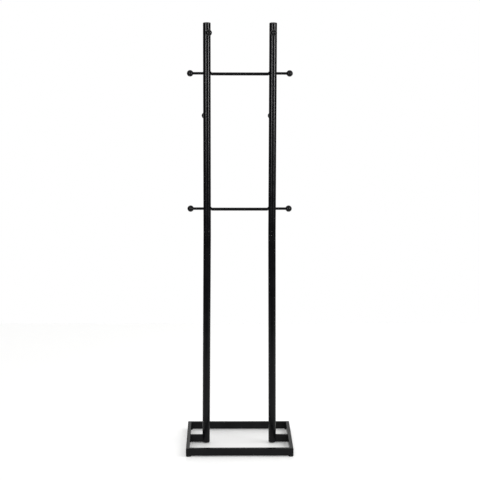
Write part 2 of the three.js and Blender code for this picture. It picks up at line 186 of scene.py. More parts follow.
class StudioSettings(bpy.types.PropertyGroup):
    """Camera and light."""

    camera_place: FloatVectorProperty(
        name="Camera", description="Where the camera stands", default=(-0.0738, -5.631, 1.8224),
        subtype="TRANSLATION", unit="LENGTH")
    camera_turn: rotation("Turn", "Camera's turn to the right of +Y", 0.770)
    camera_drop: rotation("Drop", "Camera's tilt below the horizon", 9.404)
    camera_roll: rotation("Roll", "Camera's roll about its own axis", 0.118)
    camera_lens: FloatProperty(
        name="Lens", description="Focal length on a 36 mm sensor", default=101.12,
        subtype="DISTANCE_CAMERA")
    box_distance: length("Softbox distance", "From the rack's middle to a softbox", 3.0)
    box_bottom: length("Softbox bottom", "Height where the softboxes start to glow", 0.52)
    box_full: length("Softbox full", "Height from which the softboxes glow evenly", 1.4)
    box_top: length("Softbox top", "Height of the softboxes' upper edges", 2.6)
    box_width: length("Softbox width", "Width of the softboxes", 0.6)
    box_steps: IntProperty(
        name="Softbox steps", description="Steps of a softbox's fade", default=6, min=1)
    left_azimuth: rotation("Left azimuth", "Left softbox's direction, from the front to the right", -29)
    left_glow: glow("Left glow", "Radiance of the left softbox", 33.0)
    right_azimuth: rotation("Right azimuth", "Right softbox's direction, from the front to the right", 51)
    right_glow: glow("Right glow", "Radiance of the right softbox", 42.0)
    key_azimuth: rotation("Key azimuth", "Large panel's direction, from the front to the right", 80)
    key_rise: rotation("Key rise", "Large panel's direction, above the floor", 44)
    key_distance: length("Key distance", "From the rack's foot to the large panel", 3.2)
    key_size: length("Key size", "Width and height of the large panel", 1.8)
    key_glow: glow("Key glow", "Radiance of the large panel", 3.2)
    floor_size: length("Floor size", "Width of the floor, and twice its depth behind the rack", 4.6)
    floor_front: length("Floor front", "Depth of the floor in front of the rack", 1.6)
    floor_glow: glow("Floor glow", "Light that the lit floor panel gives by itself", 0.29)
    # Glow of the floor within the rack's base, set lower than the floor glow as painted shade
    inner_glow: glow("Inner glow", "The same within the rack's base", 0.13)
    ceiling_glow: glow("Ceiling glow", "Light from straight above", 0.95)
    backdrop_glow: glow("Backdrop glow", "Light from behind the rack", 0.52)
    room_glow: glow("Room glow", "Light from everywhere else", 0.02)


# ---- Frame helpers -----------------------------------------------------------


@functools.cache
def box(node):
    """Lowest and highest corner of a CAD node, read once."""
    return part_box(node)


def box_middle(node):
    """Middle of a CAD node's box."""
    low, high = box(node)
    return (low + high) / 2


def box_size(node):
    """Size of a CAD node's box."""
    low, high = box(node)
    return high - low


def at(point, angle=0.0, axis="Z"):
    """Frame at a point, turned by an angle about one axis."""
    return Matrix.Translation(point) @ Matrix.Rotation(angle, 4, axis)


def joint_height():
    """Height where the lower and upper tubes meet."""
    return box("left_upper_tube")[0].z - BUTT_GAP / 2


def tube_radius():
    """Outer radius of the uprights."""
    return box_size("left_upper_tube").x / 2


def lean(name):
    """Angle by which the upright's lower tube stands out, to +X."""
    top = box_middle(f"{name}_upper_tube")
    foot = box_middle(f"{name}_bottom_plug")
    return math.atan((foot.x - top.x) / (joint_height() - foot.z))


def above_joint(name):
    """Frame on the upright's axis at floor height, for what is above the joint."""
    return at((box_middle(f"{name}_upper_tube").x, 0, 0))


def below_joint(name):
    """Frame on the upright's axis at the joint, turned with the leaning lower tube."""
    return at((box_middle(f"{name}_upper_tube").x, 0, joint_height()), -lean(name), "Y")


def foot_of(name, node):
    """Height in the lower tube's frame of the lower end of a node that is as wide as the tube."""
    tilt = abs(lean(name))
    return (box(node)[0].z + tube_radius() * math.sin(tilt) - joint_height()) / math.cos(tilt)


def outward(name, node):
    """Frame whose +Z leaves the upright's axis level, towards and at the height of a CAD node."""
    axis = box_middle(f"{name}_upper_tube").x
    middle = box_middle(node)
    angle = math.atan2(middle.y, middle.x - axis)
    return at((axis, 0, middle.z), angle) @ LAID


def ball_reach(sizes):
    """From the upright's axis to a ball's middle."""
    outer = box("upper_right_side_ball")[1].x
    return outer - box_middle("right_upper_tube").x - sizes.ball_diameter / 2


def ball_face(sizes):
    """From the upright's axis to the flat of a ball."""
    ball, flat = sizes.ball_diameter / 2, sizes.ball_flat / 2
    return ball_reach(sizes) - math.sqrt(ball ** 2 - flat ** 2)


# ---- Shapes ------------------------------------------------------------------
# A shape is a list of points and a list of faces.


def rounded_corners(points, radius, steps=3):
    """The same outline with its inner corners rounded, as far as their sides allow. A point beside
    each rounding keeps its shading off a long side."""
    most = 0.45         # share of a side that a rounding may take
    long_side = 4       # roundings in a side that gets the point
    beside = 1.6        # the point's place, in roundings from the corner
    points = [Vector(point) for point in points]
    made = [points[0]]
    for before, corner, after in zip(points, points[1:], points[2:]):
        back = before - corner
        ahead = after - corner
        reach = min(radius, back.length * most, ahead.length * most)
        start = corner + back.normalized() * reach
        end = corner + ahead.normalized() * reach
        if back.length > long_side * reach:
            made.append(corner + back.normalized() * beside * reach)
        for step in range(steps + 1):
            t = step / steps
            made.append(start * (1 - t) ** 2 + corner * 2 * t * (1 - t) + end * t ** 2)
        if ahead.length > long_side * reach:
            made.append(corner + ahead.normalized() * beside * reach)
    made.append(points[-1])
    return made


def turned(profile, segments):
    """A shape turned about +Z from (radius, height) points, up its outside. A radius may be a
    function of the angle. A profile that starts off the axis ends where it started."""
    rings = []
    points = []
    hollow = callable(profile[0][0]) or profile[0][0] > 0
    for radius, height in profile[:-1] if hollow else profile:
        if not callable(radius) and radius == 0:
            rings.append([len(points)] * segments)
            points.append(Vector((0, 0, height)))
            continue
        rings.append(range(len(points), len(points) + segments))
        for step in range(segments):
            angle = 2 * math.pi * step / segments
            reach = radius(angle) if callable(radius) else radius
            points.append(Vector((reach * math.cos(angle), reach * math.sin(angle), height)))
    if hollow:
        rings.append(rings[0])
    faces = []
    for low, high in zip(rings, rings[1:]):
        for step in range(segments):
            after = (step + 1) % segments
            corners = [low[step], low[after], high[after], high[step]]
            faces.append(list(dict.fromkeys(corners)))
    return points, faces


def lathed(outline, edge, segments):
    """A shape turned from an outline whose corners are rounded."""
    return turned(rounded_corners(outline, edge), segments)


def cylinder(radius, reach, segments):
    """A plain cylinder about +Z that reaches as far down as up."""
    return turned([(0, -reach), (radius, -reach), (radius, reach), (0, reach)], segments)


def pipe(outer, inner, bottom, top, edge, segments):
    """A straight round tube with rounded ends."""
    middle = (bottom + top) / 2
    outline = [(inner, middle), (inner, bottom), (outer, bottom), (outer, top), (inner, top),
               (inner, middle)]
    return lathed(outline, edge, segments)


def hexagon(across):
    """Radius of a hexagon by angle, from its width across flats."""
    sixth = math.pi / 3
    return lambda angle: across / 2 / math.cos((angle + sixth / 2) % sixth - sixth / 2)


def thread(radius, depth, pitch, bottom, top):
    """Profile points of a right-hand screw thread, with a run-out at its top."""
    steps_a_turn = 8
    made = []
    for step in range(round((top - bottom) / pitch * steps_a_turn) + 1):
        height = bottom + step * pitch / steps_a_turn
        run_out = min(1, (top - height) / pitch)

        def reach(angle, height=height, run_out=run_out):
            turn = (height / pitch - angle / (2 * math.pi)) % 1
            return radius - depth * abs(2 * turn - 1) * run_out - depth * (1 - run_out)

        made.append((reach, height))
    return made


def rail_outline(width, height, corner, corner_steps=5, flat_steps=10):
    """Points round a rectangular tube's section, as (across, up), anticlockwise from the lower right."""
    made = []
    x = width / 2 - corner
    y = height / 2 - corner
    centres = [(x, -y), (x, y), (-x, y), (-x, -y)]
    for number, (centre_x, centre_y) in enumerate(centres):
        for step in range(corner_steps + 1):
            angle = math.pi / 2 * (number - 1 + step / corner_steps)
            made.append(Vector((centre_x + corner * math.cos(angle), centre_y + corner * math.sin(angle))))
        following = centres[(number + 1) % 4]
        normal = Vector((math.cos(math.pi / 2 * number), math.sin(math.pi / 2 * number))) * corner
        for step in range(1, flat_steps):
            share = step / flat_steps
            between = Vector((centre_x, centre_y)).lerp(Vector(following), share)
            made.append(between + normal)
    return made


def rail_between(sizes, width, height, start, end):
    """A hollow rectangular tube along +X. start and end give x from a point of the section. Rings
    near its ends keep the ends' shading and wear off its long faces."""
    outer = rail_outline(width, height, sizes.rail_corner)
    wall = sizes.rail_wall
    inner = rail_outline(width - 2 * wall, height - 2 * wall, sizes.rail_corner - wall)
    near, far = 1 * MM, 3 * MM
    rings = [(outer, start, inset) for inset in (0, near, far)]
    rings += [(outer, end, -inset) for inset in (far, near, 0)]
    rings += [(inner, end, 0), (inner, start, 0)]
    points = []
    for outline, place, shift in rings:
        points += [Vector((place(across, up) + shift, across, up)) for across, up in outline]
    count = len(outer)
    faces = []
    for ring in range(len(rings)):
        low = ring * count
        high = (ring + 1) % len(rings) * count
        for step in range(count):
            after = (step + 1) % count
            faces.append([low + step, high + step, high + after, low + after])
    return points, faces


def plate(outline, thickness):
    """A closed plate along +X, its outline given as (across, up)."""
    count = len(outline)
    points = [Vector((side * thickness / 2, across, up)) for side in (-1, 1) for across, up in outline]
    faces = [list(range(count))[::-1], list(range(count, 2 * count))]
    for step in range(count):
        after = (step + 1) % count
        faces.append([step, after, count + after, count + step])
    return points, faces


def spaced(path, gap, closed):
    """The same path with its points an even distance of about gap apart."""
    path = path + path[:1] if closed else path
    lengths = [(b - a).length for a, b in zip(path, path[1:])]
    count = max(2, round(sum(lengths) / gap))
    made = []
    leg = 0
    passed = 0
    for step in range(count if closed else count + 1):
        target = sum(lengths) * step / count
        while leg < len(lengths) - 1 and passed + lengths[leg] < target:
            passed += lengths[leg]
            leg += 1
        made.append(path[leg].lerp(path[leg + 1], (target - passed) / lengths[leg]))
    return made


def weld_bead(path, normal, radius, pitch, closed):
    """A weld bead along a flat path, with the crescent ripples that the torch leaves."""
    around = 14
    gap = pitch / 7
    crescent = 0.9      # how far a ripple's middle runs ahead of its sides, in radians
    relief = 0.12       # depth of the ripples, as a share of the radius
    blunt = 0.02        # squared share of the radius that is left at an open end
    path = spaced(path, gap, closed)
    count = len(path)
    points = []
    for step, place in enumerate(path):
        ahead = path[(step + 1) % count] if closed or step < count - 1 else place
        behind = path[step - 1] if closed or step else place
        side = (ahead - behind).normalized().cross(normal)
        tip = 1 if closed else min(1, step * gap / radius, (count - 1 - step) * gap / radius)
        size = radius * math.sqrt(max(blunt, 1 - (1 - tip) ** 2))
        for turn in range(around):
            way = 2 * math.pi * turn / around
            ripple = abs(math.sin(math.pi * step * gap / pitch + crescent * math.cos(way)))
            reach = size * (1 - relief + relief * ripple)
            points.append(place + (normal * math.cos(way) + side * math.sin(way)) * reach)
    faces = []
    for step in range(count if closed else count - 1):
        low = step * around
        high = (step + 1) % count * around
        for turn in range(around):
            after = (turn + 1) % around
            faces.append([low + turn, low + after, high + after, high + turn])
    if not closed:
        faces.append(list(range(around))[::-1])
        faces.append(list(range((count - 1) * around, count * around)))
    return points, faces


def moved(shape, place):
    """The shape put into a frame."""
    points, faces = shape
    return [place @ point for point in points], faces


def together(*shapes):
    """Several shapes as one."""
    points = []
    faces = []
    for more_points, more_faces in shapes:
        faces += [[corner + len(points) for corner in face] for face in more_faces]
        points += more_points
    return points, faces


# ---- Pieces ------------------------------------------------------------------


def smooth(mesh):
    """Smooth shading with hard edges where faces meet at an angle."""
    mesh.polygons.foreach_set("use_smooth", [True] * len(mesh.polygons))
    mesh.set_sharp_from_angle(angle=SHARP_ANGLE)


def bare_object(name, shape):
    """An object made from a shape, with its faces pointing out."""
    mesh = bpy.data.meshes.new(name)
    points, faces = shape
    mesh.from_pydata([tuple(point) for point in points], [], faces)
    mesh.validate()
    smooth(mesh)
    made = bpy.data.objects.new(name, mesh)
    bpy.context.scene.collection.objects.link(made)
    return made


def add_piece(name, shape, place, nodes=(), slot="powder_coat", body=BODY, drills=None):
    """A finished piece: its mesh in its place, the CAD nodes it stands for, its finish and the body
    it rides on."""
    made = bare_object(name, moved(shape, place))
    if drills:
        drill(made, drills)
    made.data.materials.append(finish(slot))
    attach(made, body)
    if nodes:
        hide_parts(*nodes)
    return made


def drill(piece, drills):
    """Cuts the drills' shape out of the piece."""
    cutter = bare_object(piece.name + "_drills", drills)
    modifier = piece.modifiers.new("drills", "BOOLEAN")
    modifier.operation = "DIFFERENCE"
    modifier.solver = "EXACT"
    modifier.object = cutter
    graph = bpy.context.evaluated_depsgraph_get()
    cut = bpy.data.meshes.new_from_object(piece.evaluated_get(graph))
    piece.modifiers.clear()
    piece.data = cut
    bpy.data.objects.remove(cutter)
    smooth(cut)


# ---- Finishes ----------------------------------------------------------------


def add_node(tree, kind, inputs=None, **settings):
    """Adds a node with its settings, its values and its links. An input that is a socket is linked."""
    node = tree.nodes.new(kind)
    for name, value in settings.items():
        setattr(node, name, value)
    for name, value in (inputs or {}).items():
        if isinstance(value, bpy.types.NodeSocket):
            tree.links.new(value, node.inputs[name])
        else:
            node.inputs[name].default_value = value
    return node


def new_material(name):
    """The rack's colours, an empty node material, its tree and its object coordinates in metres."""
    material = bpy.data.materials.new(name)
    material.use_nodes = True
    tree = material.node_tree
    tree.nodes.clear()
    place = add_node(tree, "ShaderNodeTexCoord").outputs["Object"]
    return bpy.context.scene.rack_colours, material, tree, place


def grain(tree, place, size, detail=2.0, roughness=0.5):
    """Noise whose lumps are about size across."""
    inputs = {"Vector": place, "Scale": 1 / size, "Detail": detail, "Roughness": roughness}
    return add_node(tree, "ShaderNodeTexNoise", inputs).outputs["Fac"]


def between(tree, share, low, high, start=0.35, stop=0.65):
    """A number that goes from low to high as share goes from start to stop."""
    inputs = {"Value": share, "From Min": start, "From Max": stop, "To Min": low, "To Max": high}
    return add_node(tree, "ShaderNodeMapRange", inputs).outputs["Result"]


def blended(tree, share, first, second):
    """A colour between two, by share. Each is a socket, or red, green and blue."""
    ends = [end if isinstance(end, bpy.types.NodeSocket) else (*end, 1) for end in (first, second)]
    # The node has sockets for every kind of data; these are its factor and its two colours
    inputs = {0: share, 6: ends[0], 7: ends[1]}
    return add_node(tree, "ShaderNodeMix", inputs, data_type="RGBA").outputs[2]


def mottled(tree, share, rgb, factor):
    """A colour that turns lighter or darker by share, to that many times itself."""
    return blended(tree, share, rgb, [channel * factor for channel in rgb])


def thin_edges(tree, strength):
    """The strength along the outside edges of a mesh, fading to 0 on its faces."""
    flat, sharp = 0.53, 0.62
    pointiness = add_node(tree, "ShaderNodeNewGeometry").outputs["Pointiness"]
    return between(tree, pointiness, 0, strength, flat, sharp)


def bumped(tree, height, distance, strength):
    """Surface direction after a relief of that depth."""
    inputs = {"Height": height, "Distance": distance, "Strength": strength}
    return add_node(tree, "ShaderNodeBump", inputs).outputs["Normal"]


def surface(material, inputs):
    """The material with its shader and output."""
    shader = add_node(material.node_tree, "ShaderNodeBsdfPrincipled", inputs)
    add_node(material.node_tree, "ShaderNodeOutputMaterial", {"Surface": shader.outputs["BSDF"]})
    return material


def powder_coated_steel():
    """Sprayed and baked polyester powder on steel: satin black, with a faint orange peel that
    makes the long highlights waver, a slightly cloudy gloss, and a thinner, greyer coat on edges."""
    colours, material, tree, place = new_material("powder_coated_steel")
    clouds = grain(tree, place, 70 * MM, detail=3)
    # The real peel is about 1.5 mm; it is drawn at 4 mm so that it shows
    peel = grain(tree, place, 4 * MM, detail=1)
    edge = thin_edges(tree, 0.6)
    cloudy = blended(tree, between(tree, clouds, 0, 0.25), colours.coat, colours.coat_edge)
    return surface(material, {
        "Base Color": blended(tree, edge, cloudy, colours.coat_edge),
        "Roughness": between(tree, clouds, 0.18, 0.22),
        "IOR": 1.5,
        "Specular IOR Level": 0.12,
        "Normal": bumped(tree, peel, 0.012 * MM, 0.5),
    })


def moulded_abs():
    """Injection-moulded ABS from a polished mould: deep black, an even gloss with faint flow
    marks, and a few dull rub marks."""
    colours, material, tree, place = new_material("moulded_abs")
    flow = grain(tree, place, 14 * MM, detail=4)
    rubs = grain(tree, place, 3 * MM, detail=6, roughness=0.7)
    return surface(material, {
        "Base Color": mottled(tree, between(tree, flow, 0, 1), colours.ball, 1.8),
        "Roughness": between(tree, rubs, 0.24, 0.34, 0.45, 0.75),
        "IOR": 1.54,
        "Specular IOR Level": 0.1,
        "Normal": bumped(tree, flow, 0.02 * MM, 0.35),
    })


def moulded_polypropylene():
    """Injection-moulded polypropylene from a spark-eroded mould: dull black with a fine grain."""
    colours, material, tree, place = new_material("moulded_polypropylene")
    # The eroded grain is about 0.3 mm; it is drawn at 1.2 mm so that it shows
    spark = grain(tree, place, 1.2 * MM, detail=3)
    patches = grain(tree, place, 20 * MM)
    return surface(material, {
        "Base Color": mottled(tree, between(tree, patches, 0, 1), colours.cap, 1.5),
        "Roughness": between(tree, spark, 0.42, 0.58),
        "IOR": 1.49,
        "Specular IOR Level": 0.3,
        "Normal": bumped(tree, spark, 0.08 * MM, 0.5),
    })


def moulded_rubber():
    """Compression-moulded rubber: matt charcoal black with a dusty bloom and a soft grain."""
    colours, material, tree, place = new_material("moulded_rubber")
    pores = grain(tree, place, 0.9 * MM, detail=4)
    bloom = grain(tree, place, 9 * MM, detail=3)
    return surface(material, {
        "Base Color": mottled(tree, between(tree, bloom, 0, 0.8), colours.rubber, 1.9),
        "Roughness": between(tree, pores, 0.70, 0.88),
        "IOR": 1.52,
        "Specular IOR Level": 0.3,
        "Normal": bumped(tree, pores, 0.1 * MM, 0.5),
    })


def zinc_plated_steel():
    """Turned steel with bright zinc plating: silver grey with a patchy warm passivation and the
    fine tool marks of turning."""
    colours, material, tree, place = new_material("zinc_plated_steel")
    patches = grain(tree, place, 6 * MM, detail=3)
    # Tool marks are about 0.1 mm apart; they are drawn at 0.5 mm
    marks = grain(tree, place, 0.5 * MM, detail=1)
    return surface(material, {
        "Base Color": blended(tree, between(tree, patches, 0, 0.7), colours.zinc, colours.zinc_warm),
        "Metallic": 1.0,
        "Roughness": between(tree, patches, 0.26, 0.40),
        "Normal": bumped(tree, marks, 0.03 * MM, 0.4),
    })


def satin_floor_panel():
    """A white satin acrylic floor panel, lit from below, with painted shade within the rack's base: its
    glow is set lower there, so that the floor within the base looks greyer than the rest. Its sheen mirrors
    dark things softly."""
    studio = bpy.context.scene.rack_studio
    colours, material, tree, place = new_material("satin_floor_panel")
    haze = grain(tree, place, 180 * MM, detail=4)
    reach = CAD_BOX[1]
    across = add_node(tree, "ShaderNodeVectorMath", {0: place, 1: (1 / reach.x, 1 / reach.y, 0)},
                      operation="MULTIPLY")
    spread = add_node(tree, "ShaderNodeVectorMath", {0: across.outputs[0]}, operation="ABSOLUTE")
    parts = add_node(tree, "ShaderNodeSeparateXYZ", {"Vector": spread.outputs[0]}).outputs
    outermost = add_node(tree, "ShaderNodeMath", {0: parts["X"], 1: parts["Y"]}, operation="MAXIMUM")
    # Shares of the way from the rack's middle to its outside, between which the glow rises from the painted
    # shade within the base to the full floor glow
    inside, outside = 0.9, 1
    return surface(material, {
        "Base Color": mottled(tree, haze, colours.floor, 0.985),
        "Roughness": between(tree, haze, 0.34, 0.42),
        "IOR": 1.49,
        "Emission Color": WHITE,
        # The lower glow within the base is painted shade
        "Emission Strength": between(tree, outermost.outputs[0], studio.inner_glow, studio.floor_glow,
                                     inside, outside),
    })


FINISHES = {
    "powder_coat": powder_coated_steel,
    "ball_plastic": moulded_abs,
    "cap_plastic": moulded_polypropylene,
    "foot_rubber": moulded_rubber,
    "zinc_steel": zinc_plated_steel,
}


def finish(slot):
    """The material of a slot, made once."""
    maker = FINISHES[slot]
    return bpy.data.materials.get(maker.__name__) or maker()


# ---- Base --------------------------------------------------------------------


def rail_drills(sizes, name):
    """Holes for the foot inserts, and in a side rail the access hole of the stub's bolt."""
    insert_steps, access_steps = 40, 48
    drills = []
    for corner in CORNERS:
        if name in corner:
            node = "_".join(corner) + "_foot_insert"
            radius = sizes.insert_body / 2 + sizes.loose_gap
            hole = cylinder(radius, box_size(node).z, insert_steps)
            drills.append(moved(hole, at(box_middle(node))))
    if name in SIDES:
        node = f"{name}_bolt_cover"
        size = box_size(node)
        hole = cylinder(size.z / 2 + sizes.cover_gap, size.x + MM, access_steps)
        drills.append(moved(hole, at(box_middle(node)) @ LAID))
    return together(*drills)


class RACK_OT_rails(bpy.types.Operator):
    """Builds the four mitred rails of the base"""

    bl_idname = "rack.rails"
    bl_label = "Base rails"

    def execute(self, context):
        sizes = context.scene.rack_sizes
        # Degrees from +Y to the inside of the base
        for name, inwards in (("front", 0), ("rear", 180), ("left", -90), ("right", 90)):
            node = f"{name}_rail"
            size = box_size(node)
            width = min(size.x, size.y)
            mitre = max(size.x, size.y) / 2

            def start(across, up):
                return across + width / 2 - mitre

            def end(across, up):
                return mitre - width / 2 - across

            rail = rail_between(sizes, width, size.z, start, end)
            place = at(box_middle(node), math.radians(inwards))
            add_piece(f"rail_{name}", rail, place, [node], drills=rail_drills(sizes, name))
        return {"FINISHED"}


class RACK_OT_corner_welds(bpy.types.Operator):
    """Builds the ground weld in each mitre and the fillet bead in each inner corner"""

    bl_idname = "rack.corner_welds"
    bl_label = "Corner welds"

    def execute(self, context):
        sizes = context.scene.rack_sizes
        sunk = 0.35         # a bead's middle behind its corner, as a share of its radius
        low, high = box("front_rail")
        width = high.y - low.y
        middle = (high.z + low.z) / 2
        height = high.z - low.z
        corner_x = box("right_rail")[1].x
        corner_y = box("rear_rail")[1].y
        inset = 2 * (sizes.seam_depth + WELD_GAP * math.sqrt(0.5))
        seam = rail_outline(width - inset, height - inset, sizes.rail_corner)
        seam = [(across * math.sqrt(2), up) for across, up in seam]
        for depth, side in CORNERS:
            x, y = SIDES[side], DEPTHS[depth]
            place = Vector((x * (corner_x - width / 2), y * (corner_y - width / 2), middle))
            turn = math.atan2(y, x) + math.pi / 2
            fill = moved(plate(seam, 2 * WELD_GAP), at(place, turn))
            inner = Vector((x * (corner_x - width), y * (corner_y - width), 0))
            outwards = Vector((x, y, 0)).normalized()
            inner += outwards * sizes.bead_radius * sunk
            ends = [low.z + sizes.rail_corner, high.z - sizes.rail_corner]
            path = [inner + UP * end for end in ends]
            bead = weld_bead(path, outwards, sizes.bead_radius, sizes.bead_pitch, closed=False)
            add_piece(f"weld_{depth}_{side}_corner", together(fill, bead), Matrix())
        return {"FINISHED"}


class RACK_OT_stubs(bpy.types.Operator):
    """Builds the two stubs, coped to the uprights, with the weld beads round their outer ends"""

    bl_idname = "rack.stubs"
    bl_label = "Base stubs"

    def execute(self, context):
        sizes = context.scene.rack_sizes
        sunk = 0.2          # a bead's middle inside the stub's end, as a share of its radius
        for name, side in SIDES.items():
            low, high = box(f"{name}_stub")
            middle = (low.z + high.z) / 2
            outer = max(side * low.x, side * high.x)
            axis = side * box_middle(f"{name}_upper_tube").x
            slope = side * math.tan(lean(name))
            reach = tube_radius() + WELD_GAP

            def coped(across, up):
                out = axis + slope * (joint_height() - middle - up)
                return out + math.sqrt(reach ** 2 - across ** 2)

            def butt(across, up):
                return outer

            place = at((0, 0, middle), 0 if side > 0 else math.pi)
            stub = rail_between(sizes, high.y - low.y, high.z - low.z, coped, butt)
            add_piece(f"stub_{name}", stub, place, [f"{name}_stub"])
            outline = rail_outline(high.y - low.y, high.z - low.z, sizes.rail_corner)
            joint = outer + WELD_GAP / 2 - sizes.bead_radius * sunk
            path = [Vector((joint, across, up)) for across, up in outline]
            bead = weld_bead(path, Vector((1, 0, 0)), sizes.bead_radius, sizes.bead_pitch, closed=True)
            add_piece(f"weld_{name}_stub", bead, place)
        return {"FINISHED"}


class RACK_OT_bolt_covers(bpy.types.Operator):
    """Builds the flush covers of the bolts' access holes"""

    bl_idname = "rack.bolt_covers"
    bl_label = "Bolt covers"

    def execute(self, context):
        sizes = context.scene.rack_sizes
        dish = 0.35 * MM
        for name, side in SIDES.items():
            node = f"{name}_bolt_cover"
            radius = box_size(node).z / 2
            face = box_size(node).x / 2
            brim, well = radius * 0.72, radius * 0.66
            outline = [(0, -face), (radius - 2 * dish, -face), (radius, -face + dish), (radius, face),
                       (brim, face), (well, face - dish), (0, face - dish)]
            cover = lathed(outline, sizes.cap_edge, sizes.round_steps)
            place = at(box_middle(node), side * math.pi / 2, "Y")
            add_piece(f"cover_{name}_bolt", cover, place, [node], "cap_plastic")
        return {"FINISHED"}


class RACK_OT_feet(bpy.types.Operator):
    """Builds the four levelling feet with their threads"""

    bl_idname = "rack.feet"
    bl_label = "Levelling feet"

    def execute(self, context):
        sizes = context.scene.rack_sizes
        stem = sizes.stem_diameter / 2
        depth = 0.61 * sizes.thread_pitch       # of a metric thread
        shoulder, neck = stem * 1.5, stem * 1.2
        groove = 0.35 * MM
        hollow = 0.5 * MM
        # The sole as shares of the pad's radius and heights, from its hollow middle past a groove;
        # then the rim as shares of its thickness and how far it is cut back, past another groove
        sole = [(0, hollow), (0.38, hollow), (0.46, 0), (0.66, 0), (0.69, groove), (0.73, groove),
                (0.76, 0), (1, 0)]
        rim = [(0.42, 0), (0.48, groove), (0.56, groove), (0.62, 0), (1, 0)]
        for front, side in CORNERS:
            node = f"{front}_{side}_foot"
            low, high = box(node)
            pad = (high.x - low.x) / 2
            thick = box(f"{node}_insert")[0].z - 2 * SEAT_GAP
            outline = [(pad * share, height) for share, height in sole]
            outline += [(pad - cut, thick * share) for share, cut in rim]
            outline += [(shoulder, thick), (neck, thick - groove), (stem - depth, thick - groove)]
            profile = rounded_corners(outline, sizes.pad_edge)
            profile += thread(stem, depth, sizes.thread_pitch, thick, high.z)
            profile.append((0, high.z))
            middle = box_middle(node)
            foot = turned(profile, sizes.round_steps)
            place = at((middle.x, middle.y, 0))
            add_piece(f"foot_{front}_{side}", foot, place, [node], "foot_rubber", f"{node}_body")
        return {"FINISHED"}


class RACK_OT_foot_inserts(bpy.types.Operator):
    """Builds the flanged threaded inserts that the feet screw into"""

    bl_idname = "rack.foot_inserts"
    bl_label = "Foot inserts"

    def execute(self, context):
        sizes = context.scene.rack_sizes
        bore = sizes.stem_diameter / 2 + THREAD_GAP
        body = sizes.insert_body / 2
        teeth = 24
        tooth = 0.15 * MM       # half a tooth's height
        plain = 0.4 * MM        # from the flange to the teeth
        lead, taper = 0.8 * MM, 0.5 * MM
        for front, side in CORNERS:
            node = f"{front}_{side}_foot_insert"
            low, high = box(node)
            flange = (high.x - low.x) / 2
            step = low.z + sizes.insert_flange

            def knurl(way):
                return body - tooth * (1 + math.cos(teeth * way))

            outline = [(bore, high.z * 0.5), (bore, low.z), (flange, low.z), (flange, step), (body, step)]
            profile = rounded_corners(outline, sizes.turned_edge)
            profile += [(knurl, step + plain), (knurl, high.z - lead)]
            profile += [(body - taper, high.z), (bore, high.z), (bore, high.z * 0.5)]
            middle = box_middle(node)
            insert = turned(profile, 3 * teeth)
            place = at((middle.x, middle.y, 0))
            add_piece(f"insert_{front}_{side}_foot", insert, place, [node], "zinc_steel")
        return {"FINISHED"}


# ---- Uprights ----------------------------------------------------------------


class RACK_OT_tubes(bpy.types.Operator):
    """Builds the upper and lower tubes of both uprights"""

    bl_idname = "rack.tubes"
    bl_label = "Upright tubes"

    def execute(self, context):
        sizes = context.scene.rack_sizes
        outer = tube_radius()
        inner = outer - sizes.tube_wall
        for name in SIDES:
            node = f"{name}_upper_tube"
            low, high = box(node)
            tube = pipe(outer, inner, low.z, high.z, sizes.tube_edge, sizes.tube_steps)
            add_piece(f"tube_{name}_upper", tube, above_joint(name), [node])
            node = f"{name}_lower_tube"
            bottom = foot_of(name, node)
            tube = pipe(outer, inner, bottom, -BUTT_GAP / 2, sizes.tube_edge, sizes.tube_steps)
            add_piece(f"tube_{name}_lower", tube, below_joint(name), [node])
        return {"FINISHED"}


class RACK_OT_caps(bpy.types.Operator):
    """Builds the domed top caps and the bottom plugs"""

    bl_idname = "rack.caps"
    bl_label = "Caps and plugs"

    def execute(self, context):
        sizes = context.scene.rack_sizes
        outer = tube_radius()
        skirt = outer - sizes.tube_wall - sizes.loose_gap
        inside = skirt - sizes.skirt_wall
        steps = 16
        gate = 1.6 * MM         # radius of the dimple that the mould's gate leaves
        gate_floor = gate * 0.8
        drop = 0.02 * MM        # of the dome at the dimple's edge
        dimple = 0.25 * MM
        for name in SIDES:
            node = f"{name}_top_cap"
            low, high = box(node)
            seat = low.z + sizes.cap_skirt
            rim = seat + sizes.cap_flange
            rise = high.z - rim
            under = [(0, seat), (inside, seat), (inside, low.z), (skirt, low.z), (skirt, seat),
                     (outer, seat), (outer, rim)]
            profile = rounded_corners(under, sizes.cap_edge)
            for step in range(1, steps):
                slope = step / steps * math.pi / 2
                profile.append((outer * math.cos(slope), rim + rise * math.sin(slope)))
            profile += [(gate, high.z - drop), (gate_floor, high.z - dimple), (0, high.z - dimple)]
            cap = turned(profile, sizes.tube_steps)
            add_piece(f"cap_{name}_top", cap, above_joint(name), [node], "cap_plastic")

            node = f"{name}_bottom_plug"
            bottom = foot_of(name, node)
            step = bottom + sizes.plug_flange
            top = (box(node)[1].z - joint_height()) / math.cos(lean(name))
            outline = [(0, bottom), (outer, bottom), (outer, step), (skirt, step), (skirt, top),
                       (inside, top), (inside, step), (0, step)]
            plug = lathed(outline, sizes.cap_edge, sizes.tube_steps)
            add_piece(f"plug_{name}_bottom", plug, below_joint(name), [node], "cap_plastic")
        return {"FINISHED"}


